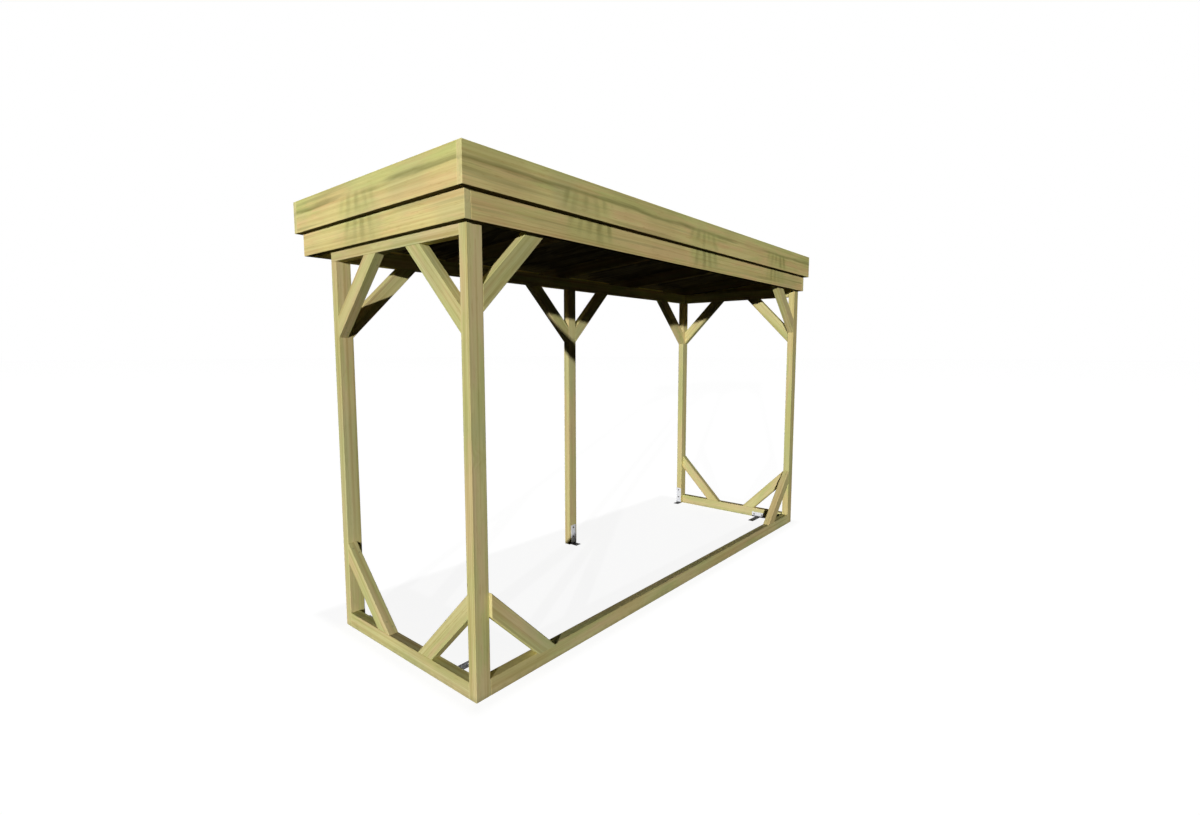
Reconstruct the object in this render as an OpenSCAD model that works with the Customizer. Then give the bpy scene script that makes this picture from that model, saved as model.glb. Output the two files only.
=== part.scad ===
// Open-framed log store: a long timber frame on five posts, braced at its corners,
// under a box-edged roof with a two-step fascia. Millimetres, +Z up.
// The origin is on the ground, under the centre of the roof.
// Front is -Y, the side with a rail at the bottom. Back is +Y, the open side, with the deep eaves.

/* [Frame] */
// Length of the frame over the outer faces of the end posts
frame_w = 3090; // [2000:10:4200]
// Depth of the frame over the outer faces of the front and back posts
frame_d = 1015; // [800:5:1500]
// Height of the underside of the top rails at the ends and the back
rail_under_z = 1755; // [1300:5:2200]
// How much higher the front top rail sits, which gives the roof its fall
front_rise = 79; // [20:1:150]
// How far the middle post stands to the right of the centre
middle_post_offset = 58; // [-150:1:150]

/* [Timber] */
// Wide side of the post, rail and brace timber
timber_w = 70; // [50:1:100]
// Narrow side of the same timber
timber_t = 45; // [30:1:60]
// Distance from a frame corner to the far end of a brace
brace_leg = 350; // [220:5:450]
// How far the left lower brace of the front stands forward of its post
brace_forward = 16; // [0:1:20]

/* [Roof] */
// Overhang of the rafters past the back posts
eaves_back = 185; // [60:5:300]
// Depth of a rafter, measured upright
rafter_h = 70; // [60:1:90]
// Thickness of the roof deck
deck_t = 18; // [12:1:22]
// Thickness of the roof covering
cover_t = 3; // [2:0.5:4]

/* [Fascia] */
// Thickness of every fascia board
fascia_t = 28; // [18:1:35]
// How far the lower fascia boards hang below the ends of the rafters at the eaves
fascia_drop = 7; // [0:1:30]
// How far the lower fascia boards stand above the roof covering at the front
fascia_upstand = 30; // [10:1:60]
// Height that the lower boards show below the upper ones
fascia_step = 105; // [60:1:120]
// How far the upper boards stand above the lower ones
fascia_over = 27; // [10:1:50]

/* [Steel feet] */
// Thickness of the galvanised steel
steel_t = 3; // [2:0.5:5]
// Height of a post bracket
post_bracket_h = 135; // [110:5:200]
// Width of a post bracket
post_bracket_w = 44; // [30:1:45]
// Length of a post bracket's foot, from the post
post_bracket_foot = 50; // [40:1:80]
// Width of a rail cleat's plate, along its rail
rail_cleat_w = 100; // [80:5:150]
// Height of a rail cleat's plate
rail_cleat_h = 40; // [35:1:68]
// Width of a rail cleat's foot
rail_cleat_foot_w = 40; // [30:1:60]
// Length of a rail cleat's foot, from the rail
rail_cleat_foot = 135; // [45:5:180]
// Distance from the front post to a rail cleat
rail_cleat_gap = 160; // [20:5:200]
// Diameter of the ground anchor holes in the feet
anchor_d = 11; // [8:0.5:14]
// Diameter of the screw holes in the upright legs
screw_d = 6; // [4:0.5:8]

/* [Hidden] */
$fn = 48;

// Faces of the frame
x_left = -frame_w / 2;
x_right = frame_w / 2;
y_front = -(frame_d + eaves_back) / 2;
y_back = y_front + frame_d;
y_eaves = y_back + eaves_back;
middle_x = middle_post_offset;

// Levels of the frame
rail_top_z = rail_under_z + timber_w;
front_under_z = rail_under_z + front_rise;
front_top_z = front_under_z + timber_w;

// The rafters' underside falls from the front rail's front edge to the back rail's front edge
roof_fall = (front_top_z - rail_top_z) / (frame_d - timber_t);
deck_h = deck_t / cos(atan(roof_fall));
cover_h = cover_t / cos(atan(roof_fall));
rafter_count = 5;
rafter_pitch = (frame_w - timber_t) / (rafter_count - 1);

// Distance from the end of a foot to its anchor hole, which leaves room for a washer
anchor_edge = anchor_d * 2;

// Distance from the edge of an upright leg to its screw holes
screw_edge = screw_d * 3;

// Heights of the screw holes in the upright legs
post_screw_low = post_bracket_h * 0.4;
post_screw_high = post_bracket_h - screw_edge;
rail_screw_z = rail_cleat_h * 0.55;

// Middle of a rail cleat
cleat_y = y_front + timber_t + rail_cleat_gap + rail_cleat_w / 2;

wood = [0.77, 0.74, 0.52];
fascia_wood = [0.80, 0.75, 0.52];
roof_wood = [0.62, 0.55, 0.38];
black = [0.06, 0.06, 0.06];
steel = [0.75, 0.76, 0.78];

// Underside of the rafters at a distance y
function under_rafter(y) = front_top_z - (y - y_front) * roof_fall;

// Top of the deck at a distance y
function deck_top(y) = under_rafter(y) + rafter_h + deck_h;

// Levels of the fascia, whose boards are cut to whole millimetres
lower_fascia_z = round(under_rafter(y_eaves) - fascia_drop);
lower_fascia_top = round(deck_top(y_front) + cover_h + fascia_upstand);
lower_fascia_h = lower_fascia_top - lower_fascia_z;
upper_fascia_z = lower_fascia_z + fascia_step;
upper_fascia_h = lower_fascia_top + fascia_over - upper_fascia_z;

// A board or timber between two opposite corners
module beam(from, to) {
    translate(from) cube(to - from);
}

// A profile in Y and Z, drawn out along X
module along_x(x, length) {
    translate([x, 0, 0]) rotate([90, 0, 90]) linear_extrude(length) children();
}

// A corner brace in a plane of its own: it runs from brace_leg out along +X to brace_leg up +Y
module brace_profile() {
    cut = timber_w * sqrt(2);
    polygon([[brace_leg - cut, 0], [brace_leg, 0], [0, brace_leg], [0, brace_leg - cut]]);
}

// A brace in the front or back frame, at the corner [x, z]. side and up are 1 or -1.
module long_brace(x, y, z, side, up) {
    color(wood) translate([x, y + timber_t, z]) rotate([90, 0, 0]) linear_extrude(timber_t)
        scale([side, up]) brace_profile();
}

// A brace in an end frame, at the corner [y, z]. side and up are 1 or -1.
module end_brace(x, y, z, side, up) {
    color(wood) translate([x, y, z]) rotate([90, 0, 90]) linear_extrude(timber_t)
        scale([side, up]) brace_profile();
}

// A post from the ground to a height
module post(x, y, height) {
    color(wood) beam([x, y, 0], [x + timber_w, y + timber_t, height]);
}

module post_front_left() post(x_left, y_front, front_under_z);
module post_front_right() post(x_right - timber_w, y_front, front_under_z);
module post_back_left() post(x_left, y_back - timber_t, rail_under_z);
module post_back_middle() post(middle_x - timber_w / 2, y_back - timber_t, rail_under_z);
module post_back_right() post(x_right - timber_w, y_back - timber_t, rail_under_z);

// The bottom rails stand on edge between the posts, flush with the outer faces
module rail_bottom_front() {
    color(wood) beam([x_left + timber_w, y_front, 0], [x_right - timber_w, y_front + timber_t, timber_w]);
}

module bottom_end_rail(x) {
    color(wood) beam([x, y_front + timber_t, 0], [x + timber_t, y_back - timber_t, timber_w]);
}

module rail_bottom_left() bottom_end_rail(x_left);
module rail_bottom_right() bottom_end_rail(x_right - timber_t);

// The front top rail lies over both front posts
module rail_top_front() {
    color(wood) beam([x_left, y_front, front_under_z], [x_right, y_front + timber_t, front_top_z]);
}

// The back top rail lies over the back posts, between the end rails
module rail_top_back() {
    color(wood) beam([x_left + timber_t, y_back - timber_t, rail_under_z],
                     [x_right - timber_t, y_back, rail_top_z]);
}

// An end top rail runs from the front post's inner face over the back post
module top_end_rail(x) {
    color(wood) beam([x, y_front + timber_t, rail_under_z], [x + timber_t, y_back, rail_top_z]);
}

module rail_top_left() top_end_rail(x_left);
module rail_top_right() top_end_rail(x_right - timber_t);

// Braces of the front frame
module brace_front_lower_left() long_brace(x_left + timber_w, y_front - brace_forward, timber_w, 1, 1);
module brace_front_lower_right() long_brace(x_right - timber_w, y_front, timber_w, -1, 1);
module brace_front_upper_left() long_brace(x_left + timber_w, y_front, front_under_z, 1, -1);
module brace_front_upper_right() long_brace(x_right - timber_w, y_front, front_under_z, -1, -1);

// Braces of the back frame
module back_brace(x, side) long_brace(x, y_back - timber_t, rail_under_z, side, -1);
module brace_back_left() back_brace(x_left + timber_w, 1);
module brace_back_middle_left() back_brace(middle_x - timber_w / 2, -1);
module brace_back_middle_right() back_brace(middle_x + timber_w / 2, 1);
module brace_back_right() back_brace(x_right - timber_w, -1);

// Braces of the end frames: lower ones on the bottom rail, upper ones under the top rail
module lower_front_brace(x) end_brace(x, y_front + timber_t, timber_w, 1, 1);
module lower_back_brace(x) end_brace(x, y_back - timber_t, timber_w, -1, 1);
module upper_front_brace(x) end_brace(x, y_front + timber_t, rail_under_z, 1, -1);
module upper_back_brace(x) end_brace(x, y_back - timber_t, rail_under_z, -1, -1);

module brace_left_lower_front() lower_front_brace(x_left);
module brace_left_lower_back() lower_back_brace(x_left);
module brace_left_upper_front() upper_front_brace(x_left);
module brace_left_upper_back() upper_back_brace(x_left);
module brace_right_lower_front() lower_front_brace(x_right - timber_t);
module brace_right_lower_back() lower_back_brace(x_right - timber_t);
module brace_right_upper_front() upper_front_brace(x_right - timber_t);
module brace_right_upper_back() upper_back_brace(x_right - timber_t);

// A rafter, with a level seat cut over each of the two long top rails
module rafter(number) {
    y_seat = y_back - timber_t;
    color(roof_wood) along_x(x_left + (number - 1) * rafter_pitch, timber_t) polygon([
        [y_front, front_top_z],
        [y_front + timber_t, front_top_z],
        [y_front + timber_t, under_rafter(y_front + timber_t)],
        [y_seat, rail_top_z],
        [y_back, rail_top_z],
        [y_back, under_rafter(y_back)],
        [y_eaves, under_rafter(y_eaves)],
        [y_eaves, under_rafter(y_eaves) + rafter_h],
        [y_front, under_rafter(y_front) + rafter_h]
    ]);
}

// One half of the sloping deck, which meets the other over the middle of the roof
module roof_deck(x) {
    color(roof_wood) along_x(x, frame_w / 2) polygon([
        [y_front, deck_top(y_front) - deck_h],
        [y_eaves, deck_top(y_eaves) - deck_h],
        [y_eaves, deck_top(y_eaves)],
        [y_front, deck_top(y_front)]
    ]);
}

module roof_deck_left() roof_deck(x_left);
module roof_deck_right() roof_deck(0);

// The covering lies on the deck, turns up inside the lower fascia and laps over its top edge
module roof_covering() {
    cover_top = lower_fascia_top + cover_t;
    color(black) {
        difference() {
            along_x(x_left, frame_w) polygon([
                [y_front, deck_top(y_front)],
                [y_eaves, deck_top(y_eaves)],
                [y_eaves, cover_top],
                [y_front, cover_top]
            ]);
            along_x(x_left + cover_t, frame_w - 2 * cover_t) polygon([
                [y_front + cover_t, deck_top(y_front + cover_t) + cover_h],
                [y_eaves - cover_t, deck_top(y_eaves - cover_t) + cover_h],
                [y_eaves - cover_t, cover_top + 1],
                [y_front + cover_t, cover_top + 1]
            ]);
        }
        difference() {
            beam([x_left - fascia_t, y_front - fascia_t, lower_fascia_top],
                 [x_right + fascia_t, y_eaves + fascia_t, cover_top]);
            beam([x_left + cover_t, y_front + cover_t, lower_fascia_top - 1],
                 [x_right - cover_t, y_eaves - cover_t, cover_top + 1]);
        }
    }
}

// A fascia board between two opposite corners of its plan
module fascia(from, to, z, height) {
    color(fascia_wood) beam([from.x, from.y, z], [to.x, to.y, z + height]);
}

// Lower tier: the end boards cover the ends of the long boards
module lower_long_board(y) {
    fascia([x_left, y], [x_right, y + fascia_t], lower_fascia_z, lower_fascia_h);
}

module lower_end_board(x) {
    fascia([x, y_front - fascia_t], [x + fascia_t, y_eaves + fascia_t], lower_fascia_z, lower_fascia_h);
}

module fascia_lower_front() lower_long_board(y_front - fascia_t);
module fascia_lower_back() lower_long_board(y_eaves);
module fascia_lower_left() lower_end_board(x_left - fascia_t);
module fascia_lower_right() lower_end_board(x_right);

// Upper tier, planted on the lower one: the long boards cover the ends of the end boards
module upper_long_board(y) {
    fascia([x_left - 2 * fascia_t, y], [x_right + 2 * fascia_t, y + fascia_t],
           upper_fascia_z, upper_fascia_h);
}

module upper_end_board(x) {
    fascia([x, y_front - fascia_t], [x + fascia_t, y_eaves + fascia_t], upper_fascia_z, upper_fascia_h);
}

module fascia_upper_front() upper_long_board(y_front - 2 * fascia_t);
module fascia_upper_back() upper_long_board(y_eaves + fascia_t);
module fascia_upper_left() upper_end_board(x_left - 2 * fascia_t);
module fascia_upper_right() upper_end_board(x_right + fascia_t);

// An angle of folded steel: it stands on the ground in the corner at the origin, with its upright
// leg against x = 0 and its foot along +X. Two screw holes are in the leg, one anchor hole in the foot.
module steel_angle(width, height, foot_w, foot, screws) {
    color(steel) difference() {
        union() {
            beam([0, -width / 2, 0], [steel_t, width / 2, height]);
            beam([0, -foot_w / 2, 0], [foot, foot_w / 2, steel_t]);
        }
        for (s = screws) {
            translate([-1, s.x, s.y]) rotate([0, 90, 0]) cylinder(h = steel_t + 2, d = screw_d);
        }
        translate([foot - anchor_edge, 0, -1]) cylinder(h = steel_t + 2, d = anchor_d);
    }
}

// A tall bracket on a post, with its screws one above the other
module post_bracket() {
    screws = [[0, post_screw_low], [0, post_screw_high]];
    steel_angle(post_bracket_w, post_bracket_h, post_bracket_w, post_bracket_foot, screws);
}

// A cleat on a bottom rail: a wide plate with its screws side by side, and a long narrow foot
module rail_cleat() {
    spread = rail_cleat_w / 2 - screw_edge;
    screws = [[-spread, rail_screw_z], [spread, rail_screw_z]];
    steel_angle(rail_cleat_w, rail_cleat_h, rail_cleat_foot_w, rail_cleat_foot, screws);
}

module foot_bracket_back_left() {
    translate([x_left + timber_w, y_back - timber_t / 2, 0]) post_bracket();
}

module foot_bracket_back_middle() {
    translate([middle_x, y_back - timber_t, 0]) rotate([0, 0, -90]) post_bracket();
}

module foot_bracket_back_right() {
    translate([x_right - timber_w, y_back - timber_t / 2, 0]) rotate([0, 0, 180]) post_bracket();
}

module rail_cleat_left() {
    translate([x_left + timber_t, cleat_y, 0]) rail_cleat();
}

module rail_cleat_right() {
    translate([x_right - timber_t, cleat_y, 0]) rotate([0, 0, 180]) rail_cleat();
}

post_front_left();
post_front_right();
post_back_left();
post_back_middle();
post_back_right();
rail_bottom_front();
rail_bottom_left();
rail_bottom_right();
rail_top_front();
rail_top_back();
rail_top_left();
rail_top_right();
brace_front_lower_left();
brace_front_lower_right();
brace_front_upper_left();
brace_front_upper_right();
brace_back_left();
brace_back_middle_left();
brace_back_middle_right();
brace_back_right();
brace_left_lower_front();
brace_left_lower_back();
brace_left_upper_front();
brace_left_upper_back();
brace_right_lower_front();
brace_right_lower_back();
brace_right_upper_front();
brace_right_upper_back();
rafter(1);  // rafter_1
rafter(2);  // rafter_2
rafter(3);  // rafter_3
rafter(4);  // rafter_4
rafter(5);  // rafter_5
roof_deck_left();
roof_deck_right();
roof_covering();
fascia_lower_front();
fascia_lower_back();
fascia_lower_left();
fascia_lower_right();
fascia_upper_front();
fascia_upper_back();
fascia_upper_left();
fascia_upper_right();
foot_bracket_back_left();
foot_bracket_back_middle();
foot_bracket_back_right();
rail_cleat_left();
rail_cleat_right();
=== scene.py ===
import math
import random

import bmesh
import bpy
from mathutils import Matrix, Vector, noise


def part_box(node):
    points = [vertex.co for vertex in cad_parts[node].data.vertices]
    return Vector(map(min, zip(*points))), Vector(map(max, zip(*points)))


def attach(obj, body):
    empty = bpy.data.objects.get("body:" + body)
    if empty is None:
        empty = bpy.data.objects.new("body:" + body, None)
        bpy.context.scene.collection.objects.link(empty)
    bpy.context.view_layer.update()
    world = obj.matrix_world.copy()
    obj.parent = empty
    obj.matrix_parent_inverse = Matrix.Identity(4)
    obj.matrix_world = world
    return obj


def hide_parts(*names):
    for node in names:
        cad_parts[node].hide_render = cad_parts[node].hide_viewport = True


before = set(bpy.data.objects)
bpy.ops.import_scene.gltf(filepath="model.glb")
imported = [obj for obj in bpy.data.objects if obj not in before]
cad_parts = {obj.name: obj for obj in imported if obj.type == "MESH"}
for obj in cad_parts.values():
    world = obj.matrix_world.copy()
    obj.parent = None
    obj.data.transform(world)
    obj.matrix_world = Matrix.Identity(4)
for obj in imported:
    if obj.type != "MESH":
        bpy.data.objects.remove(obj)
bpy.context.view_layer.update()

X, Y, Z = Vector((1, 0, 0)), Vector((0, 1, 0)), Vector((0, 0, 1))


# ---- node trees -------------------------------------------------------------------------------

class Tree:
    """The nodes of a material or of the world, with short ways to add and link them. Where a method takes a
    value, it is a number, a tuple or another node's output."""

    def __init__(self, owner):
        owner.use_nodes = True
        self.owner = owner
        self.tree = owner.node_tree
        self.tree.nodes.clear()

    def put(self, socket, value):
        if isinstance(value, bpy.types.NodeSocket):
            self.tree.links.new(value, socket)
        elif value is not None:
            socket.default_value = value

    def node(self, kind, inputs=None, **settings):
        made = self.tree.nodes.new("ShaderNode" + kind)
        for key, value in settings.items():
            setattr(made, key, value)
        for key, value in (inputs or {}).items():
            self.put(made.inputs[key], value)
        return made

    def math(self, operation, a, b=None):
        return self.node("Math", {0: a, 1: b}, operation=operation).outputs[0]

    def add(self, a, b):
        return self.math("ADD", a, b)

    def subtract(self, a, b):
        return self.math("SUBTRACT", a, b)

    def multiply(self, a, b):
        return self.math("MULTIPLY", a, b)

    def vector(self, operation, a, b=None):
        made = self.node("VectorMath", {0: a, 1: b}, operation=operation)
        return made.outputs[1 if operation in ("LENGTH", "DISTANCE") else 0]

    def parts(self, vector):
        """The three numbers of a vector or a colour."""
        return self.node("SeparateXYZ", {0: vector}).outputs

    def joined(self, x, y, z):
        return self.node("CombineXYZ", {0: x, 1: y, 2: z}).outputs[0]

    def ramp(self, value, low, high, start=0.0, end=1.0):
        """value from low to high, turned smoothly into start to end."""
        inputs = {0: value, 1: low, 2: high, 3: start, 4: end}
        return self.node("MapRange", inputs, interpolation_type="SMOOTHSTEP").outputs[0]

    def mix(self, amount, a, b, blend="MIX"):
        return self.node("Mix", {0: amount, 6: a, 7: b}, data_type="RGBA", blend_type=blend).outputs[2]

    def lay(self, color, mask, strength, over, blend="MIX"):
        """color with the colour over laid on it where mask is 1, as strongly as strength says."""
        return self.mix(self.multiply(mask, strength), color, over, blend)

    def shaded(self, color, shade):
        """color times the number shade."""
        return self.mix(1.0, color, self.joined(shade, shade, shade), "MULTIPLY")

    def noise(self, vector, scale=1.0, detail=2.0, roughness=0.5, output=0):
        inputs = {"Vector": vector, "Scale": scale, "Detail": detail, "Roughness": roughness}
        return self.node("TexNoise", inputs).outputs[output]

    def line_noise(self, number, scale):
        """Noise that depends on one number only."""
        inputs = {"W": number, "Scale": scale, "Detail": 2.0}
        return self.node("TexNoise", inputs, noise_dimensions="1D").outputs[0]

    def lots(self, number):
        """A Value and a Color drawn by lot for each number."""
        return self.node("TexWhiteNoise", {"W": number}, noise_dimensions="1D").outputs

    def cells(self, vector, scale=1.0):
        """The Color and Position of the Voronoi cell that a point lies in."""
        return self.node("TexVoronoi", {"Vector": vector, "Scale": scale}).outputs

    def place(self):
        """The point in the object's own coordinates, in metres."""
        return self.node("TexCoord").outputs["Object"]

    def attribute(self, name):
        return self.node("Attribute", attribute_name=name).outputs

    def bump(self, height, strength, distance):
        inputs = {"Height": height, "Strength": strength, "Distance": distance}
        return self.node("Bump", inputs).outputs[0]

    def finish(self, **sockets):
        """Ends the tree in a Principled shader with these sockets, and returns the material."""
        names = {"color": "Base Color", "roughness": "Roughness", "normal": "Normal", "metallic": "Metallic",
                 "specular": "Specular IOR Level"}
        shader = self.node("BsdfPrincipled", {names[key]: value for key, value in sockets.items()})
        self.node("OutputMaterial", {0: shader.outputs[0]})
        return self.owner


def rgb(red, green, blue):
    """A colour in linear light, as the shaders take it."""
    return (red, green, blue, 1.0)


def grey(value):
    return rgb(value, value, value)


# ---- wood ---------------------------------------------------------------------------------------

# Each wood's pale ground, and the green and the pink of its patches
FRAME_COLORS = (rgb(0.690, 0.628, 0.288), rgb(0.515, 0.540, 0.205), rgb(0.720, 0.555, 0.300))
FASCIA_COLORS = (rgb(0.830, 0.745, 0.310), rgb(0.590, 0.625, 0.215), rgb(0.890, 0.620, 0.300))
# The rafters' colours are darkened as painted shade, for the dark underside of the roof
SHADE_DARKENED_RAFTER_COLORS = (rgb(0.350, 0.295, 0.170), rgb(0.275, 0.265, 0.125), rgb(0.375, 0.280, 0.165))

# A slow drift between warmer and greyer lengths
WARM = rgb(0.690, 0.530, 0.235)
COOL = rgb(0.540, 0.545, 0.270)

# What streaks, late wood and dashes multiply the colour by
STREAK_SHADE = rgb(0.74, 0.67, 0.52)
LATE_WOOD_SHADE = rgb(0.66, 0.56, 0.40)
DASH_SHADE = rgb(0.72, 0.58, 0.42)

# What is laid over it
KNOT = rgb(0.270, 0.170, 0.070)
CUT_END = rgb(0.760, 0.700, 0.340)
WORN_ARRIS = rgb(0.760, 0.690, 0.420)
RISEN_DAMP = rgb(0.300, 0.275, 0.130)
HEART = rgb(0.280, 0.270, 0.090)
SIDE_STREAK = rgb(0.380, 0.355, 0.140)
STROKE = rgb(0.290, 0.270, 0.090)
# Painted shade for the fascia boards' downward faces
PAINTED_UNDERSIDE_SHADE = rgb(0.022, 0.020, 0.012)

# Height of a fascia board's heart line, as a share of the board, and the distances in metres between its
# whorls of knots and between the strokes of one whorl
HEART_LINE = 0.60
WHORL_PITCH = 0.98
STROKE_PITCH = 0.066

# Distance in metres between growth rings, in the timbers and in the fascia boards
TIMBER_RING = 0.0070
FASCIA_RING = 0.0090

# The lattice that knots lie in, in cells a metre along and across the grain, and the share without a knot
KNOT_LATTICE = (1.4, 7.5, 7.5)
KNOTLESS = 0.60

# Planer marks, in radians a metre: one mark every 2.4 mm
PLANER_MARKS = 2600.0


class WoodTree(Tree):
    """A wood's nodes, with the grain's own coordinates, which timber() stores on each point."""

    def __init__(self, name):
        super().__init__(bpy.data.materials.new(name))
        self.grain = self.attribute("grain")["Vector"]
        self.along = self.parts(self.grain)[0]
        # The board's own lot from -1 to 1, the height in it from 0 to 1, the distance from its middle
        self.tone, self.span, self.reach = self.parts(self.attribute("board")["Vector"])

    def fibres(self, scale, detail=2.0, roughness=0.5, shift=(0.0, 0.0, 0.0)):
        """Noise drawn out along the grain: scale is how often it changes in a metre along and across it."""
        moved = self.vector("ADD", self.grain, shift)
        drawn_out = self.vector("MULTIPLY", moved, (scale[0], scale[1], scale[1]))
        return self.noise(drawn_out, detail=detail, roughness=roughness)


def whorl_strokes(t, ragged):
    """The patches where a board's whorls of knots lie close under the face, and the dark strokes in them."""
    # The whole part of place counts the whorls, and the rest says how far the point is along one
    place = t.add(t.math("DIVIDE", t.reach, WHORL_PITCH), t.multiply(t.tone, 0.10))
    place = t.add(place, 0.5)
    whorl = t.math("FLOOR", place)
    offset = t.multiply(t.subtract(t.math("FRACT", place), 0.5), WHORL_PITCH)
    patch = t.multiply(t.ramp(t.math("ABSOLUTE", offset), 0.185, 0.105), t.ramp(t.span, -0.10, 0.16))
    patch = t.multiply(patch, t.ramp(t.span, HEART_LINE + 0.14, HEART_LINE - 0.10))

    # The strokes are the turns of a sine wave along the board, and fan out below
    fan = t.add(0.84, t.multiply(t.span, 0.50))
    lot = t.add(t.multiply(t.tone, 30.0), t.along)
    uneven = t.noise(t.joined(t.multiply(offset, 9.0), t.multiply(t.span, 0.9), lot))
    turns = t.multiply(t.multiply(offset, fan), 1.0 / STROKE_PITCH)
    turns = t.add(turns, t.multiply(uneven, 0.9))
    turns = t.add(turns, t.multiply(ragged, 0.2))
    swell = t.math("SINE", t.multiply(turns, 2 * math.pi))
    stroke = t.multiply(t.ramp(swell, -0.95, 1.0), t.ramp(uneven, 0.62, 0.42, 0.35, 1.0))

    # Each stroke has its own strength and its own length
    number = t.add(t.math("FLOOR", t.add(turns, 0.25)), t.multiply(t.tone, 7.0))
    lots = t.lots(t.add(number, t.multiply(whorl, 13.0)))
    stroke = t.multiply(stroke, t.ramp(lots["Value"], 0.0, 1.0, 0.30, 1.0))
    ends_at = t.multiply(t.parts(lots["Color"])[1], 0.45)
    stroke = t.multiply(stroke, t.ramp(t.subtract(t.span, ends_at), -0.25, 0.10))

    # Each whorl is stronger or weaker than the next, and fades downward
    strength = t.lots(t.add(whorl, t.tone))["Value"]
    patch = t.multiply(patch, t.ramp(strength, 0.0, 1.0, 0.55, 1.0))
    patch = t.multiply(patch, t.ramp(t.span, -0.20, 0.50, 0.55, 1.0))
    return patch, stroke


def heart_marks(t, color, green, pink):
    """What a flat-sawn board shows besides: a wavy heart line, soft strokes that fan out below it at each
    whorl of knots, and painted shade on its downward faces."""
    # The heart line runs along the upper part: greener wood over it, warmer wood under it
    wave = t.line_noise(t.multiply(t.along, 1.7), 1.0)
    sway = t.multiply(t.subtract(wave, 0.5), 0.22)
    from_line = t.add(t.subtract(t.span, HEART_LINE), sway)
    ragged = t.subtract(t.fibres((3.5, 60.0), 3.0, 0.6, (1.0, 4.0, 2.0)), 0.5)
    from_line = t.add(from_line, t.multiply(ragged, 0.20))
    line = t.multiply(t.ramp(from_line, -0.085, 0.010), t.ramp(from_line, 0.16, 0.010))
    broken = t.ramp(t.fibres((1.6, 16.0), 3.0, 0.6, (8.0, 2.0, 6.0)), 0.34, 0.56, 0.20, 1.0)
    color = t.lay(color, t.ramp(from_line, -0.05, 0.12), 0.24, green)
    color = t.lay(color, t.ramp(t.span, 0.80, 1.0), 0.34, green)
    color = t.lay(color, t.ramp(from_line, 0.05, -0.25), 0.20, pink)
    color = t.lay(color, t.multiply(line, broken), 0.72, HEART)
    # Other dark streaks follow it, weaker
    second = t.ramp(t.fibres((0.9, 34.0), 3.0, 0.55, (6.0, 1.0, 9.0)), 0.54, 0.68)
    color = t.lay(color, second, 0.44, SIDE_STREAK)
    patch, stroke = whorl_strokes(t, ragged)
    color = t.lay(color, patch, 0.55, green)
    color = t.lay(color, t.multiply(patch, stroke), 0.76, STROKE)
    # Painted shade: the board's downward faces are darkened nearly to black, as if in shadow
    return t.lay(color, t.attribute("under")["Fac"], 0.90, PAINTED_UNDERSIDE_SHADE)


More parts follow.
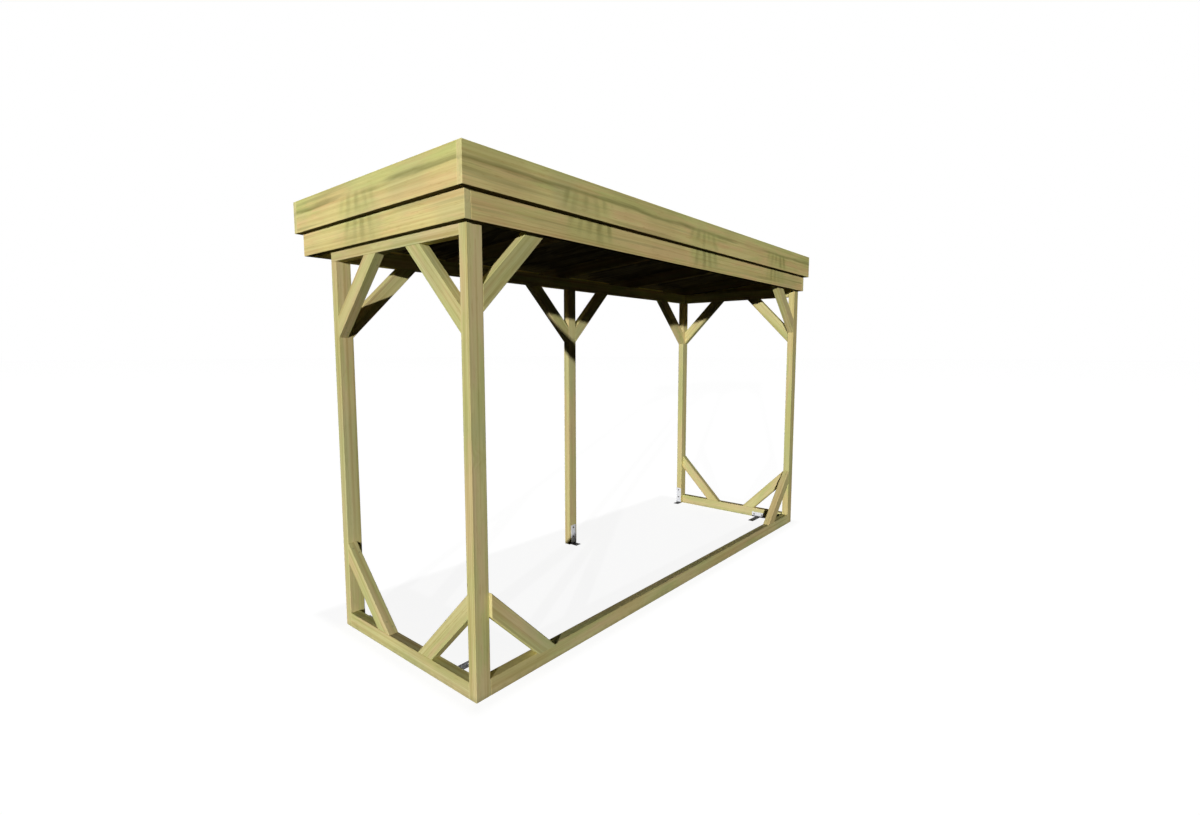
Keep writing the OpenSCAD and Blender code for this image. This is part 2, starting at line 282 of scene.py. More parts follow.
def wood(name, colors, rings, streaks, ring=TIMBER_RING, drifts=0.45, heart=False):
    """Treated softwood in the grain's own coordinates: growth rings round a pith, streaks and fibres along
    the grain, patches of green and pink, knots that bend the rings, end grain on cut ends and worn arrises.
    rings, streaks and drifts say how strongly each shows. heart adds what heart_marks draws."""
    pale, green, pink = colors
    t = WoodTree(name)

    # Knots lie in some of the cells of a lattice that is stretched along the grain
    cells = t.cells(t.vector("MULTIPLY", t.grain, KNOT_LATTICE))
    from_knot = t.vector("DISTANCE", t.grain, t.vector("DIVIDE", cells["Position"], KNOT_LATTICE))
    lucky = t.math("GREATER_THAN", t.parts(cells["Color"])[0], KNOTLESS)
    knot = t.multiply(t.ramp(from_knot, 0.0120, 0.0075), lucky)
    collar = t.multiply(t.ramp(from_knot, 0.055, 0.010), lucky)

    # Growth rings round the pith, which wander and bend round the knots. The late wood in them is darker
    wander = t.noise(t.vector("MULTIPLY", t.grain, (0.55, 4.0, 4.0)), output="Color")
    wander = t.vector("MULTIPLY", t.vector("SUBTRACT", wander, (0.5, 0.5, 0.5)), (0.0, 0.022, 0.022))
    section = t.vector("MULTIPLY", t.vector("ADD", t.grain, wander), (0.0, 1.0, 1.0))
    radius = t.add(t.vector("LENGTH", section), t.multiply(collar, 0.008))
    uneven = t.line_noise(radius, 40.0)
    year = t.math("FRACT", t.add(t.multiply(radius, 1.0 / ring), t.multiply(uneven, 4.0)))
    late = t.multiply(t.ramp(year, 0.20, 0.85), t.ramp(year, 1.0, 0.90))
    late = t.multiply(late, t.ramp(t.fibres((1.0, 11.0), shift=(5.0, 1.0, 2.0)), 0.30, 0.66, 0.25, 1.0))

    # Patches of colour and the slow drift
    greens = t.ramp(t.add(t.fibres((1.5, 12.0), 4.0, 0.6), t.multiply(t.tone, 0.03)), 0.43, 0.63)
    pinks = t.ramp(t.fibres((2.3, 17.0), 4.0, 0.6, (31.0, 7.0, 3.0)), 0.45, 0.62)
    drift = t.fibres((1.9, 2.5), 2.0, 0.5, (12.0, 5.0, 8.0))
    color = t.lay(pale, greens, 0.66, green)
    color = t.lay(color, pinks, 0.64, pink)
    color = t.lay(color, t.ramp(drift, 0.52, 0.66), drifts, WARM)
    color = t.lay(color, t.ramp(drift, 0.46, 0.34), drifts, COOL)
    if heart:
        color = heart_marks(t, color, green, pink)

    # Streaks, late wood, dashes and fibres, then the knots
    streak = t.ramp(t.fibres((0.5, 75.0), 3.0, 0.55, (3.0, 9.0, 4.0)), 0.46, 0.66)
    dash = t.ramp(t.fibres((19.0, 260.0), 2.0, 0.6), 0.60, 0.72)
    fibre = t.fibres((8.0, 520.0), 3.0, 0.6)
    color = t.lay(color, streak, streaks, STREAK_SHADE, "MULTIPLY")
    color = t.lay(color, late, rings, LATE_WOOD_SHADE, "MULTIPLY")
    color = t.lay(color, dash, 0.38, DASH_SHADE, "MULTIPLY")
    shade = t.add(0.90, t.multiply(fibre, 0.20))
    color = t.shaded(color, t.add(shade, t.multiply(t.tone, 0.03)))
    color = t.lay(color, collar, 0.30, green)
    color = t.lay(color, knot, 0.70, KNOT)

    # Cut ends are paler, and so are handled arrises
    color = t.lay(color, t.attribute("endgrain")["Fac"], 0.50, CUT_END)
    rub = t.ramp(t.fibres((26.0, 50.0)), 0.35, 0.65)
    color = t.lay(color, t.multiply(t.attribute("arris")["Fac"], rub), 0.35, WORN_ARRIS)

    # Damp that has risen a little way from the ground
    height_above_ground = t.parts(t.place())[2]
    damp = t.add(height_above_ground, t.multiply(t.fibres((30.0, 30.0)), 0.04))
    color = t.lay(color, t.ramp(damp, 0.045, 0.015), 0.40, RISEN_DAMP)

    rough = t.add(0.64, t.multiply(fibre, 0.22))
    rough = t.subtract(rough, t.multiply(late, 0.10))
    rough = t.subtract(rough, t.multiply(knot, 0.15))

    # The late wood and the fibres stand up, the dashes are pores, and the planer left faint marks
    height = t.add(t.multiply(late, 0.5), t.multiply(fibre, 0.6))
    height = t.subtract(height, t.multiply(dash, 0.35))
    marks = t.math("SINE", t.multiply(t.along, PLANER_MARKS))
    height = t.add(height, t.multiply(marks, 0.06))
    return t.finish(color=color, roughness=rough, normal=t.bump(height, 0.40, 0.0010), specular=0.0)


frame_wood = wood("frame_wood", FRAME_COLORS, rings=0.26, streaks=0.55)
fascia_wood = wood("fascia_wood", FASCIA_COLORS, rings=0.26, streaks=0.35, ring=FASCIA_RING, heart=True)
rafter_wood = wood("rafter_wood", SHADE_DARKENED_RAFTER_COLORS, rings=0.35, streaks=0.5, drifts=0.0)


# ---- the other materials --------------------------------------------------------------------------

# The ways the strands of the roof's sheets lie, in radians, and their cells a metre
STRAND_TURNS = (-0.9, -0.25, 0.35, 1.2)
STRAND_CELLS = (10.0, 1.0, 46.0)
# The strands' colours are darkened as painted shade, for the dark underside of the roof
SHADE_DARKENED_DARK_STRAND = rgb(0.100, 0.086, 0.060)
SHADE_DARKENED_PALE_STRAND = rgb(0.230, 0.200, 0.135)

BLACK_RUBBER = rgb(0.024, 0.024, 0.026)
DUST = rgb(0.085, 0.080, 0.070)
DRIED_RUN = rgb(0.110, 0.105, 0.092)
DUST_SPECK = rgb(0.120, 0.115, 0.100)

# How bright the zinc of the brackets and of the nails is
BRACKET_ZINC = 0.90
NAIL_ZINC = 0.62
ZINC_BLOOM = rgb(0.58, 0.58, 0.57)
# Painted shade near the ground, which turns the steel feet nearly black
PAINTED_FOOT_SHADE = rgb(0.016, 0.015, 0.013)

# The coating of the brace screws and of the bracket screws, and what shows where it is worn
GREEN_COATING = rgb(0.420, 0.385, 0.170)
GREEN_COATING_WORN = rgb(0.520, 0.490, 0.300)
DARK_COATING = rgb(0.110, 0.100, 0.080)
DARK_COATING_WORN = rgb(0.300, 0.290, 0.260)


def strand_board(name):
    """The underside of the roof's sheets: pressed wood strands that lie every way, in brown glue.
    Their colours are darkened as painted shade.
    """
    t = Tree(bpy.data.materials.new(name))
    grain = t.attribute("grain")["Vector"]
    layers = []
    for turn in STRAND_TURNS:
        turned = t.node("VectorRotate", {"Vector": grain, "Angle": turn}, rotation_type="Y_AXIS").outputs[0]
        cells = t.cells(t.vector("MULTIPLY", turned, STRAND_CELLS))
        level, hue, _ = t.parts(cells["Color"])
        layers.append((level, t.mix(hue, SHADE_DARKENED_DARK_STRAND, SHADE_DARKENED_PALE_STRAND)))
    # Of the strands that cross at a point, the highest shows
    highest, color = layers[0]
    for level, strand in layers[1:]:
        color = t.mix(t.math("GREATER_THAN", level, highest), color, strand)
        highest = t.math("MAXIMUM", level, highest)
    fibre = t.noise(t.vector("MULTIPLY", grain, (60.0, 60.0, 500.0)))
    color = t.shaded(color, t.add(0.85, t.multiply(fibre, 0.3)))
    height = t.add(highest, t.multiply(fibre, 0.3))
    rough = t.add(0.70, t.multiply(fibre, 0.2))
    return t.finish(color=color, roughness=rough, normal=t.bump(height, 0.4, 0.0010), specular=0.0)


def rubber(name):
    """Black roofing rubber: matt, with a fine cast texture and pale dust where water has stood and dried."""
    t = Tree(bpy.data.materials.new(name))
    place = t.place()
    fine = t.noise(place, scale=330.0)
    dust = t.noise(t.vector("MULTIPLY", place, (1.5, 2.6, 1.5)), detail=6.0, roughness=0.62)
    dust = t.ramp(dust, 0.45, 0.72)
    speck = t.ramp(t.noise(place, scale=85.0, detail=4.0, roughness=0.65), 0.60, 0.76)
    run = t.ramp(t.noise(t.vector("MULTIPLY", place, (34.0, 1.6, 1.6)), detail=3.0), 0.54, 0.74)
    color = t.lay(BLACK_RUBBER, dust, 0.55, DUST)
    color = t.lay(color, run, 0.16, DRIED_RUN)
    color = t.lay(color, speck, 0.20, DUST_SPECK)
    rough = t.add(0.50, t.multiply(dust, 0.30))
    return t.finish(color=color, roughness=rough, normal=t.bump(fine, 0.20, 0.0004), specular=0.25)


def galvanised(name, zinc):
    """Hot-dip zinc gone dull: grey spangle of duller and brighter crystals, chalky bloom, and painted shade
    that turns the steel nearly black near the ground."""
    t = Tree(bpy.data.materials.new(name))
    place = t.place()
    flake = t.parts(t.cells(place, 190.0)["Color"])[0]
    bloom = t.ramp(t.noise(place, scale=36.0, detail=4.0, roughness=0.6), 0.46, 0.72)
    low = t.ramp(t.parts(place)[2], 0.016, 0.004)
    bright = rgb(zinc, zinc * 1.01, zinc * 1.04)
    dull = rgb(zinc * 0.80, zinc * 0.81, zinc * 0.84)
    color = t.mix(flake, bright, dull)
    color = t.lay(color, bloom, 0.35, ZINC_BLOOM)
    # Painted shade: the steel is darkened nearly to black near the ground, fully below 4 mm
    color = t.lay(color, low, 0.95, PAINTED_FOOT_SHADE)
    rough = t.add(0.36, t.multiply(flake, 0.12))
    rough = t.add(rough, t.multiply(bloom, 0.20))
    metal = t.subtract(0.08, t.multiply(bloom, 0.04))
    scratch = t.noise(t.vector("MULTIPLY", place, (900.0, 60.0, 60.0)), detail=1.0)
    height = t.add(flake, t.multiply(scratch, 0.5))
    return t.finish(color=color, roughness=rough, normal=t.bump(height, 0.18, 0.0003), metallic=metal,
                    specular=0.12)


def coated(name, coating, worn_coating):
    """Coated screw heads, worn a little brighter where the driver slipped."""
    t = Tree(bpy.data.materials.new(name))
    worn = t.ramp(t.noise(t.place(), scale=700.0), 0.56, 0.66)
    color = t.lay(coating, worn, 0.6, worn_coating)
    rough = t.subtract(0.55, t.multiply(worn, 0.2))
    return t.finish(color=color, roughness=rough, metallic=t.multiply(worn, 0.3), specular=0.1)


deck_sheet = strand_board("deck_sheet")
membrane = rubber("roof_membrane")
steel = galvanised("galvanised_steel", BRACKET_ZINC)
nail_steel = galvanised("screw_steel", NAIL_ZINC)
green_screws = coated("green_screws", GREEN_COATING, GREEN_COATING_WORN)
dark_screws = coated("dark_screws", DARK_COATING, DARK_COATING_WORN)


# ---- pieces ------------------------------------------------------------------------------------

# Points of a CAD mesh this close are one point, and faces this near to one plane, in radians, are one face
SAME_POINT = 1e-5
SAME_PLANE = 0.02

# How round the arrises are
TIMBER_ARRIS = 0.0025
BOARD_ARRIS = 0.0022
DECK_ARRIS = 0.0012
STEEL_ARRIS = 0.0005

# A face is an end, or an underside, if its normal comes this near to the grain's line, or to straight down
END_FACING = 0.6
DOWN_FACING = -0.9

# The least and greatest distance of a timber's pith from its middle, how much less that is across the wide
# face, and the longest shift of the pattern along the grain
PITH_DISTANCE = (0.055, 0.100)
PITH_FLATTENED = 0.6
LONGEST_SHIFT = 12

# The edges of a steel angle that are eased: longer than a hole's facets, along an axis, and at a real corner
EASED_LENGTH = 0.0029
EASED_STRAIGHT = 0.999
EASED_ANGLE = 1.0

# The lobes of a screw head's drive recess
LOBES = 6
LOBE_DEPTH = 0.16

# Heads as (radius, height) from the rim to the middle
PAN_HEAD = [(0.0058, 0.0), (0.0061, 0.0005), (0.0059, 0.0013), (0.0050, 0.0022), (0.0036, 0.0027),
            (0.0026, 0.0029), (0.0022, 0.0028), (0.0019, 0.0012)]
FLUSH_HEAD = [(0.0030, -0.0010), (0.0043, -0.0001), (0.0043, 0.0003), (0.0038, 0.0004),
              (0.0022, 0.0002), (0.0019, 0.0001), (0.0017, -0.0007)]
CLOUT_HEAD = [(0.0050, -0.0004), (0.0053, 0.0003), (0.0047, 0.0009), (0.0028, 0.0013), (0.0012, 0.0014)]

# The first loop of each head's drive recess
PAN_RECESS = 6
FLUSH_RECESS = 5

# A brace's screws: how far from its tip, and how far off the middle of its edge
BRACE_SCREWS = ((0.034, -0.009), (0.062, 0.009))

# Screws in the steel: their distance from its top or its side edge, and heights as a share of its own
HOLE_EDGE = 0.018
BRACKET_LOWER_SCREW = 0.4
CLEAT_SCREW = 0.55

# The part of an angle that is this far above its foot's underside is its upright leg
FOOT_CLEAR = 0.02


def place_piece(name, bm, materials, replaced=()):
    """Makes the object, with face-weighted normals, riding on the one body."""
    mesh = bpy.data.meshes.new(name)
    bm.to_mesh(mesh)
    bm.free()
    for face in mesh.polygons:
        face.use_smooth = True
    made = bpy.data.objects.new(name, mesh)
    bpy.context.scene.collection.objects.link(made)
    for m in materials:
        mesh.materials.append(m)
    weighted = made.modifiers.new("weighted", "WEIGHTED_NORMAL")
    weighted.weight = 100
    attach(made, "root")
    if replaced:
        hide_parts(*replaced)
    return made


def clean_copy(node):
    """The CAD node's shape with its flat faces whole."""
    bm = bmesh.new()
    bm.from_mesh(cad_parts[node].data)
    bmesh.ops.remove_doubles(bm, verts=bm.verts[:], dist=SAME_POINT)
    bmesh.ops.dissolve_limit(bm, angle_limit=SAME_PLANE, verts=bm.verts[:], edges=bm.edges[:])
    return bm


def rounded(bm, edges, radius, segments):
    """Rounds these edges and returns the new faces."""
    made = bmesh.ops.bevel(bm, geom=edges, offset=radius, segments=segments, profile=0.5, affect="EDGES",
                           clamp_overlap=True)
    return set(made["faces"])


def timber(node, along, across, material, arris_radius=TIMBER_ARRIS):
    """A timber or board with rounded arrises. along is its grain, across its thickness. Its points carry the
    grain's own coordinates, measured from a pith that lies outside the section, as in sawn stock."""
    chance = random.Random(node)
    bm = clean_copy(node)
    along, across = along.normalized(), across.normalized()
    wide = along.cross(across)
    low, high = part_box(node)
    centre = (low + high) / 2
    round_faces = rounded(bm, bm.edges[:], arris_radius, 3)
    bm.normal_update()
    end = bm.faces.layers.float.new("endgrain")
    arris = bm.faces.layers.float.new("arris")
    under = bm.faces.layers.float.new("under")
    for face in bm.faces:
        is_end = face not in round_faces and abs(face.normal.dot(along)) > END_FACING
        face[arris] = 1.0 if face in round_faces else 0.0
        face[end] = 1.0 if is_end else 0.0
        face[under] = 1.0 if face.normal.z < DOWN_FACING else 0.0
    grain = bm.verts.layers.float_vector.new("grain")
    board = bm.verts.layers.float_vector.new("board")
    spans = [wide.dot(v.co - centre) for v in bm.verts]
    half = max(map(abs, spans)) or 1.0
    angle = chance.uniform(-0.5, 0.5) + (math.pi if chance.random() < 0.5 else 0.0)
    distance = chance.uniform(*PITH_DISTANCE)
    pith = (math.cos(angle) * distance, math.sin(angle) * distance * PITH_FLATTENED)
    start = chance.uniform(0, LONGEST_SHIFT)
    tone = chance.uniform(-1, 1)
    # The height in the board always runs upward, so that a pattern stands the same way on every side
    up = 1.0 if wide.z >= -1e-6 else -1.0
    for v, s in zip(bm.verts, spans):
        p = v.co - centre
        v[grain] = (along.dot(p) + start, across.dot(p) + pith[0], wide.dot(p) + pith[1])
        v[board] = (tone, 0.5 + 0.5 * up * s / half, along.dot(p))
    place_piece(node + ".timber", bm, [material], [node])


def line_of(edge):
    """An edge as a vector from its one end to the other."""
    return edge.verts[1].co - edge.verts[0].co


def long_edge(node):
    """The direction of a node's longest straight edge."""
    bm = clean_copy(node)
    direction = line_of(max(bm.edges, key=lambda e: e.calc_length())).normalized()
    bm.free()
    return direction


def head(bm, centre, axis, profile, recess_from, turns=24):
    """Adds a turned screw or nail head at centre, facing along axis. profile is (radius, height) from the rim
    to the middle, and from recess_from on they are the lobed walls of the drive recess."""
    turn = Z.rotation_difference(axis)
    loops = []
    for number, (radius, height) in enumerate(profile):
        loop = []
        for k in range(turns):
            a = 2 * math.pi * k / turns
            r = radius
            if number >= recess_from:
                r = radius * (1 + LOBE_DEPTH * math.cos(LOBES * a))
            loop.append(bm.verts.new(centre + turn @ Vector((r * math.cos(a), r * math.sin(a), height))))
        loops.append(loop)
    for lower, upper in zip(loops, loops[1:]):
        for k in range(turns):
            n = (k + 1) % turns
            bm.faces.new((lower[k], lower[n], upper[n], upper[k]))
    bm.faces.new(loops[-1])
    bm.faces.new(list(reversed(loops[0])))


def second_longest_edge(face):
    return sorted(e.calc_length() for e in face.edges)[-2]


def brace_screws(node):
    """Two coated screws through each end of a brace, driven from its outer long edge."""
    bm = clean_copy(node)
    bm.normal_update()
    # The outer long edge is the face that holds the two longest edges
    outer = max(bm.faces, key=second_longest_edge)
    edges = sorted(outer.edges, key=lambda e: e.calc_length())
    along = line_of(edges[-1])
    across = line_of(edges[0]).normalized()
    normal = outer.normal.copy()
    middle = outer.calc_center_median()
    half = along.length / 2
    along.normalize()
    bm.free()
    heads = bmesh.new()
    for side in (-1, 1):
        for from_tip, offset in BRACE_SCREWS:
            place = middle + along * side * (half - from_tip) + across * offset * side
            head(heads, place, normal, FLUSH_HEAD, FLUSH_RECESS)
    place_piece(node + ".screws", heads, [green_screws])


def folded_steel(node):
    """A folded steel angle with its straight edges eased."""
    bm = clean_copy(node)
    straight = []
    for e in bm.edges:
        d = line_of(e)
        along_axis = max(abs(d.x), abs(d.y), abs(d.z)) > EASED_STRAIGHT * d.length
        at_corner = len(e.link_faces) == 2 and e.calc_face_angle(0.0) > EASED_ANGLE
        if along_axis and at_corner and d.length > EASED_LENGTH:
            straight.append(e)
    rounded(bm, straight, STEEL_ARRIS, 2)
    place_piece(node + ".steel", bm, [steel], [node])


def steel_screws(node, places):
    """Pan-head screws in an angle's upright leg. places are the holes' (offset along the leg, height)."""
    low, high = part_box(node)
    centre = (low + high) / 2
    tall = [v.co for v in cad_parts[node].data.vertices if v.co.z > low.z + FOOT_CLEAR]
    leg = sum(tall, Vector()) / len(tall)
    # The screws face the way the foot points
    out = Vector((centre.x - leg.x, centre.y - leg.y, 0))
    if abs(out.x) > abs(out.y):
        axis = X if out.x > 0 else -X
        side = Y
    else:
        axis = Y if out.y > 0 else -Y
        side = X
    base = Vector((leg.x, leg.y, low.z))
    base += axis * (max(axis.dot(c) for c in tall) - axis.dot(base))
    heads = bmesh.new()
    for offset, height in places:
        head(heads, base + side * offset + Z * height, axis, PAN_HEAD, PAN_RECESS)
    place_piece(node + ".screws", heads, [dark_screws])


nodes = sorted(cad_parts)
for node in nodes:
    low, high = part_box(node)
    size = high - low
    level = X if size.x > size.y else Y
    flat = Y if size.x > size.y else X
    if node.startswith("post_"):
        timber(node, Z, Y, frame_wood)
    elif node.startswith("rail_top") or node.startswith("rail_bottom"):
        timber(node, level, flat, frame_wood)
    elif node.startswith("brace_"):
        timber(node, long_edge(node), flat, frame_wood)
        brace_screws(node)
    elif node.startswith("rafter_"):
        timber(node, long_edge(node), X, rafter_wood)
    elif node.startswith("roof_deck"):
        timber(node, X, Y, deck_sheet, DECK_ARRIS)
    elif node.startswith("fascia_"):
        timber(node, level, flat, fascia_wood, BOARD_ARRIS)

for node in nodes:
    low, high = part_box(node)
    size = high - low
    if node.startswith("foot_bracket"):
        folded_steel(node)
        steel_screws(node, [(0.0, size.z * BRACKET_LOWER_SCREW), (0.0, size.z - HOLE_EDGE)])
    elif node.startswith("rail_cleat"):
        folded_steel(node)
        reach = min(size.x, size.y) / 2 - HOLE_EDGE
        steel_screws(node, [(-reach, size.z * CLEAT_SCREW), (reach, size.z * CLEAT_SCREW)])


# ---- roof covering -------------------------------------------------------------------------------

# The rubber's thickness in the CAD model, and here. The radius of its fold at the foot of the upstand, and of
# the rim that goes over the fascia's edge. How far the lap ends inside its CAD edge
SHEET = 0.003
VISIBLE_SHEET = SHEET * 0.9
FILLET = 0.012
RIM = 0.0035
LAP_CLEAR = 0.0005

# Where the two seams cross the roof, as shares of its length. Each is given by distances from its line: it
# rises softly to the upper sheet, which ends in a crisp drop
SEAM_SHARES = (1 / 3, 2 / 3)
SEAM_FOOT = -0.036
SEAM_SHOULDER = -0.026
SEAM_EDGE = 0.0300
SEAM_DROP = 0.0306
SEAM_RISE = 0.010
SEAM_HEIGHT = 0.0014

# Ripples calm down over this distance from the edges, and a ruck runs in from each corner
CALM = 0.10
RIPPLE = 0.0016
RUCK_HEIGHT = 0.0030
RUCK_WIDTH = 0.011
RUCK_LENGTH = 0.19
RUCK_START = 0.03
DIAGONAL = 0.7071

# How many steps the field has along and across, and how far an upstand bellies in
FIELD_STEPS = (128, 52)
BELLY = 0.0012

# A corner's folded ear: how far it reaches, how high it starts, and how thick it is
EAR_REACH = 0.085
EAR_FOOT = 0.004
EAR_FRONT = 0.0030
EAR_BACK = 0.0004
EAR_ARRIS = 0.0011

# The nails: their spacing, the first one's distance from a corner, how far they are outside the lap's middle,
# off line and askew, and how many points go round a head
NAIL_PITCH = 0.15
NAIL_START = 0.06
NAIL_OUT = 0.002
NAIL_SHIFT = 0.004
NAIL_TILT = 0.06
NAIL_TURNS = 16


def steps(start, end, count):
    return [start + (end - start) * k / count for k in range(count + 1)]


class Tray:
    """The roof tray that the rubber lines, read from the frame, and how the rubber lies in it."""

    def __init__(self, node, left_deck, right_deck):
        low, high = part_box(node)
        deck_low, deck_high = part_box(left_deck)
        self.node = node
        self.x0 = deck_low.x + SHEET
        self.x1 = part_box(right_deck)[1].x - SHEET
        self.y0 = deck_low.y + SHEET
        self.y1 = deck_high.y - SHEET
        self.deck_top = deck_high.z
        self.deck_front = deck_low.y
        self.fall = (deck_high.z - low.z) / (deck_high.y - deck_low.y)
        self.lap = deck_low.x - low.x + SHEET - LAP_CLEAR
        self.top = high.z
        self.seams = [self.x0 + (self.x1 - self.x0) * share for share in SEAM_SHARES]

    def seam(self, x):
        """How far the lapped sheets stand up at x."""
        rise = 0.0
        for s in self.seams:
            if s + SEAM_FOOT < x <= s + SEAM_EDGE:
                rise = SEAM_HEIGHT * min(1.0, (x - s - SEAM_FOOT) / SEAM_RISE)
        return rise

    def ripple(self, x, y):
        """Slow ripples, and a ruck that runs in from each corner."""
        calm = min(1.0, min(x - self.x0, self.x1 - x, y - self.y0, self.y1 - y) / CALM)
        wave = RIPPLE * (noise.noise(Vector((x * 2.6, y * 4.4, 3.0))) + 0.6) * max(calm, 0.0)
        for corner_x in (self.x0, self.x1):
            for corner_y in (self.y0, self.y1):
                dx = abs(x - corner_x)
                dy = abs(y - corner_y)
                off = abs(dx - dy) * DIAGONAL
                reach = (dx + dy) * DIAGONAL
                ruck = RUCK_HEIGHT * math.exp(-(off / RUCK_WIDTH) ** 2)
                wave += ruck * max(0.0, 1.0 - reach / RUCK_LENGTH) * min(1.0, reach / RUCK_START)
        return max(wave, 0.0)

    def floor_z(self, x, y):
        deck = self.deck_top - (y - self.deck_front) * self.fall
        return deck + SHEET + self.seam(x) + self.ripple(x, y)


def covering_sheet(tray):
    """The rubber sheet: it lies on the deck, turns up the fascia in a soft fold and laps over the lower
    boards."""
    xs = steps(tray.x0 + FILLET, tray.x1 - FILLET, FIELD_STEPS[0])
    for s in tray.seams:
        xs += [s + SEAM_FOOT, s + SEAM_SHOULDER, s + SEAM_EDGE, s + SEAM_DROP]
    xs = sorted(xs)
    ys = steps(tray.y0 + FILLET, tray.y1 - FILLET, FIELD_STEPS[1])
    bm = bmesh.new()
    field = [[bm.verts.new((x, y, tray.floor_z(x, y))) for y in ys] for x in xs]
    for i in range(len(xs) - 1):
        for j in range(len(ys) - 1):
            bm.faces.new((field[i][j], field[i + 1][j], field[i + 1][j + 1], field[i][j + 1]))

    # Round the edge of the field, each point with its direction outward
    last_x = len(xs) - 1
    last_y = len(ys) - 1
    border = [(i, 0) for i in range(last_x)] + [(last_x, j) for j in range(last_y)]
    border += [(i, last_y) for i in range(last_x, 0, -1)] + [(0, j) for j in range(last_y, 0, -1)]
    loops = [[field[i][j] for i, j in border]]
    outward = []
    for i, j in border:
        out_x = -1 if i == 0 else 1 if i == last_x else 0
        out_y = -1 if j == 0 else 1 if j == last_y else 0
        outward.append((out_x, out_y))

    def ring(out, z_of, slack=0.0):
        """One more loop round the tray, out from the field's edge. slack lets an upstand belly in."""
        made = []
        for v, (out_x, out_y) in zip(loops[0], outward):
            x, y, z = v.co
            belly = slack * (noise.noise(Vector((x * 5.0, y * 5.0, 9.0))) + 0.5)
            if out_y and not out_x:
                belly += tray.seam(x)
            d = out - max(belly, 0.0)
            made.append(bm.verts.new((x + out_x * d, y + out_y * d, z_of(z, x))))
        loops.append(made)

    # The fillet at the foot, the upstand, the rim over the fascia's edge, and the lap
    top = tray.top
    for a in steps(0.0, math.pi / 2, 6)[1:]:
        ring(FILLET * math.sin(a), lambda z, x, a=a: z + FILLET * (1 - math.cos(a)))
    for share in (0.25, 0.5, 0.75, 1.0):
        slack = BELLY if share < 1.0 else 0.0
        ring(FILLET, lambda z, x, s=share: z + FILLET + (top - RIM - z - FILLET) * s, slack)
    for a in steps(0.0, math.pi / 2, 4)[1:]:
        ring(FILLET + RIM * (1 - math.cos(a)),
             lambda z, x, a=a: top - RIM + RIM * math.sin(a) + tray.seam(x) * math.sin(a))
    for share in (0.6, 1.0):
        ring(FILLET + tray.lap * share, lambda z, x: top + tray.seam(x))
    for inner, outer in zip(loops, loops[1:]):
        for k in range(len(inner)):
            n = (k + 1) % len(inner)
            bm.faces.new((inner[k], outer[k], outer[n], inner[n]))
    bmesh.ops.recalc_face_normals(bm, faces=bm.faces[:])
    if field[3][3].link_faces[0].normal.z < 0:
        bmesh.ops.reverse_faces(bm, faces=bm.faces[:])
    sheet = place_piece(tray.node + ".sheet", bm, [membrane], [tray.node])
    thick = sheet.modifiers.new("thickness", "SOLIDIFY")
    thick.thickness = VISIBLE_SHEET
    thick.offset = -1.0
    sheet.modifiers.move(1, 0)


def corner_folds(tray):
    """Each corner's spare rubber, folded into a flat ear against the end upstand."""
    top = tray.top
    ears = bmesh.new()
    for x, inward in ((tray.x0, 1), (tray.x1, -1)):
        for y, back in ((tray.y0, 1), (tray.y1, -1)):
            foot = tray.floor_z(x, y) + EAR_FOOT
            reach = min(EAR_REACH, (top - foot) * 0.95)
            outline = [(y, foot), (y, top - RIM), (y + back * reach, top - RIM),
                       (y + back * reach * 0.45, foot + (top - foot) * 0.42)]
            near = [ears.verts.new((x + inward * EAR_FRONT, a, b)) for a, b in outline]
            far = [ears.verts.new((x - inward * EAR_BACK, a, b)) for a, b in outline]
            ears.faces.new(near)
            ears.faces.new(list(reversed(far)))
            for k in range(4):
                n = (k + 1) % 4
                ears.faces.new((near[n], near[k], far[k], far[n]))
    bmesh.ops.recalc_face_normals(ears, faces=ears.faces[:])
    rounded(ears, ears.edges[:], EAR_ARRIS, 3)
    place_piece(tray.node + ".corner_folds", ears, [membrane])


def lap_nails(tray):
    """Clout nails that hold the lap down along the lower boards' top edges."""
    line = tray.lap / 2 + NAIL_OUT
    places = []
    for x in steps(tray.x0 + NAIL_START, tray.x1 - NAIL_START, round((tray.x1 - tray.x0) / NAIL_PITCH)):
        places += [(x, tray.y0 - line), (x, tray.y1 + line)]
    for y in steps(tray.y0 + NAIL_START, tray.y1 - NAIL_START, round((tray.y1 - tray.y0) / NAIL_PITCH)):
        places += [(tray.x0 - line, y), (tray.x1 + line, y)]
    chance = random.Random(tray.node)
    nails = bmesh.new()
    for x, y in places:
        shift_x = chance.uniform(-NAIL_SHIFT, NAIL_SHIFT)
        shift_y = chance.uniform(-NAIL_SHIFT, NAIL_SHIFT)
        tilt_x = chance.uniform(-NAIL_TILT, NAIL_TILT)
        tilt_y = chance.uniform(-NAIL_TILT, NAIL_TILT)
        place = Vector((x, y, 0)) + Vector((shift_x, shift_y, tray.top + tray.seam(x)))
        head(nails, place, Vector((tilt_x, tilt_y, 1)).normalized(), CLOUT_HEAD, len(CLOUT_HEAD), NAIL_TURNS)
    place_piece(tray.node + ".nails", nails, [nail_steel])


roof_tray = Tray("roof_covering", "roof_deck_left", "roof_deck_right")
covering_sheet(roof_tray)
corner_folds(roof_tray)
lap_nails(roof_tray)


# ---- stage -------------------------------------------------------------------------------------

FLOOR_SIZE = 240
# The floor as the camera sees it: a glow that is nearly white, and a faint diffuse part that takes the shadow
FLOOR_GLOW = 0.91
FLOOR_SHADOW = 0.16
# The floor and the world as they light the object
FLOOR_BOUNCE = 0.015
WORLD_FILL = 0.004

# The key lamp's place and radius in metres and its strength. It is far off and to the front left
KEY_PLACE = (-33.5, -17.07, 5.716)
KEY_RADIUS = 0.29
KEY_ENERGY = 41.0

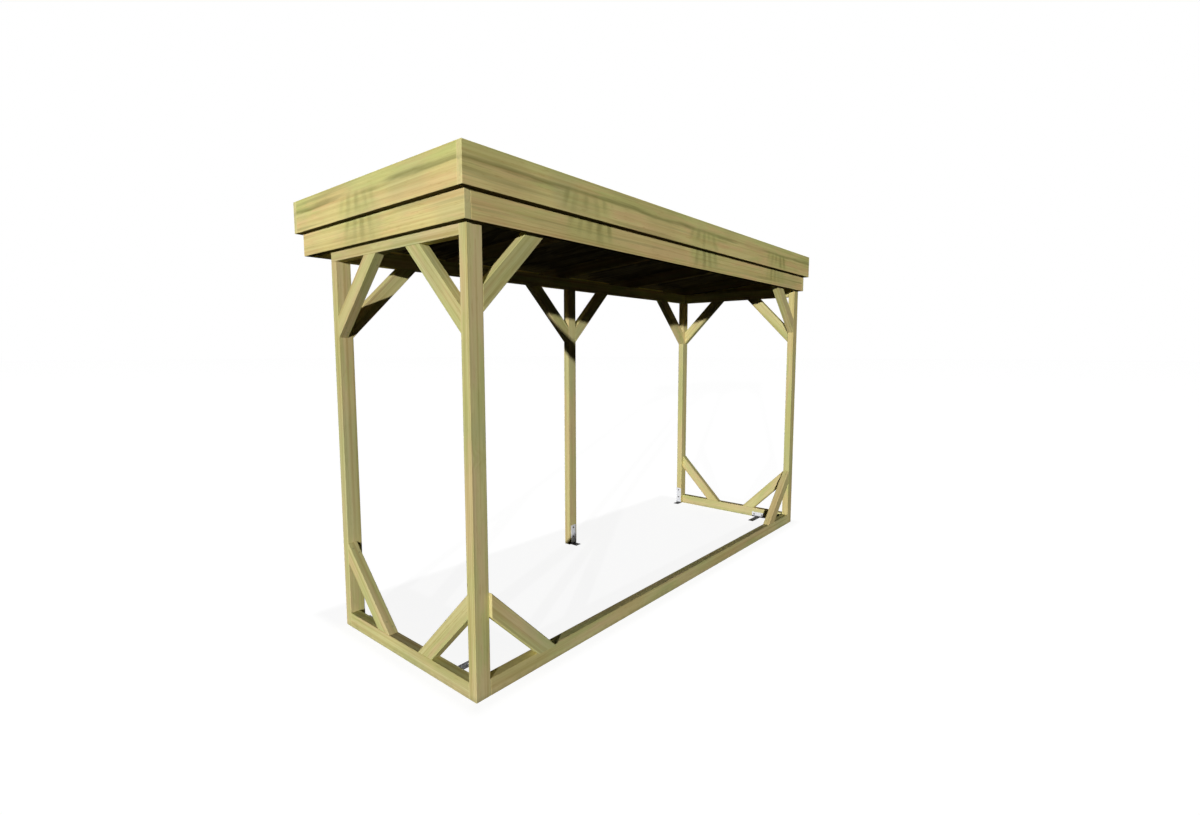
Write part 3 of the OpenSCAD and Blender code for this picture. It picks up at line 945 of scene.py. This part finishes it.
# The camera's place in metres, its angles below level and toward +X in degrees, and its lens in millimetres
CAMERA_PLACE = (-2.8388, -2.2940, 1.3395)
CAMERA_DOWN = 5.529
CAMERA_RIGHT = 50.137
LENS = 17.27
SENSOR = 36.0
FARTHEST = 400


def white_for_camera(t, seen, plain):
    """Mixes two shaders: seen is for the camera and for reflections, plain for all that lights the object."""
    path = t.node("LightPath").outputs
    reflected = t.node("Math", {0: path["Is Glossy Ray"], 1: path["Is Transmission Ray"]},
                       operation="ADD", use_clamp=True).outputs[0]
    shown = t.node("Math", {0: path["Is Camera Ray"], 1: reflected},
                   operation="ADD", use_clamp=True).outputs[0]
    return t.node("MixShader", {0: shown, 1: plain, 2: seen}).outputs[0]


def white_floor():
    t = Tree(bpy.data.materials.new("floor"))
    shadowed = t.node("BsdfDiffuse", {"Color": grey(FLOOR_SHADOW)}).outputs[0]
    glow = t.node("Emission", {"Color": grey(1.0), "Strength": FLOOR_GLOW}).outputs[0]
    seen = t.node("AddShader", {0: shadowed, 1: glow}).outputs[0]
    plain = t.node("BsdfDiffuse", {"Color": grey(FLOOR_BOUNCE)}).outputs[0]
    t.node("OutputMaterial", {0: white_for_camera(t, seen, plain)})
    bpy.ops.mesh.primitive_plane_add(size=FLOOR_SIZE, location=(0, 0, 0))
    floor = bpy.context.object
    floor.name = "floor"
    floor.data.materials.append(t.owner)


def white_world():
    world = bpy.data.worlds.new("studio")
    bpy.context.scene.world = world
    t = Tree(world)
    seen = t.node("Background", {"Color": grey(1.0), "Strength": 1.0}).outputs[0]
    fill = t.node("Background", {"Color": grey(1.0), "Strength": WORLD_FILL}).outputs[0]
    t.node("OutputWorld", {0: white_for_camera(t, seen, fill)})


def key_lamp():
    """The key light. Its light doesn't weaken over the length of the object."""
    data = bpy.data.lights.new("key", "POINT")
    data.energy = KEY_ENERGY
    data.shadow_soft_size = KEY_RADIUS
    data.use_nodes = True
    nodes = data.node_tree.nodes
    falloff = nodes.new("ShaderNodeLightFalloff")
    falloff.inputs["Strength"].default_value = 1.0
    data.node_tree.links.new(falloff.outputs["Constant"], nodes["Emission"].inputs["Strength"])
    made = bpy.data.objects.new("key", data)
    made.location = KEY_PLACE
    bpy.context.scene.collection.objects.link(made)


def softbox(name, from_direction, strength, spread):
    """A distant softbox: from_direction points from the object to it, spread is its width in degrees."""
    data = bpy.data.lights.new(name, "SUN")
    data.energy = strength * math.pi
    data.angle = math.radians(spread)
    made = bpy.data.objects.new(name, data)
    bpy.context.scene.collection.objects.link(made)
    made.rotation_euler = (-Vector(from_direction)).to_track_quat("-Z", "Y").to_euler()


white_floor()
white_world()
key_lamp()
softbox("back_fill", (0.61, 0.79, 0.05), 0.52, 8)
softbox("overhead", (0.0, 0.0, 1.0), 0.45, 2)

camera_data = bpy.data.cameras.new("camera")
camera_data.lens = LENS
camera_data.sensor_width = SENSOR
camera_data.clip_end = FARTHEST
camera = bpy.data.objects.new("camera", camera_data)
bpy.context.scene.collection.objects.link(camera)
camera.location = CAMERA_PLACE
camera.rotation_euler = (math.radians(90 - CAMERA_DOWN), 0.0, math.radians(-CAMERA_RIGHT))
bpy.context.scene.camera = camera
bpy.context.scene.view_settings.view_transform = "Standard"
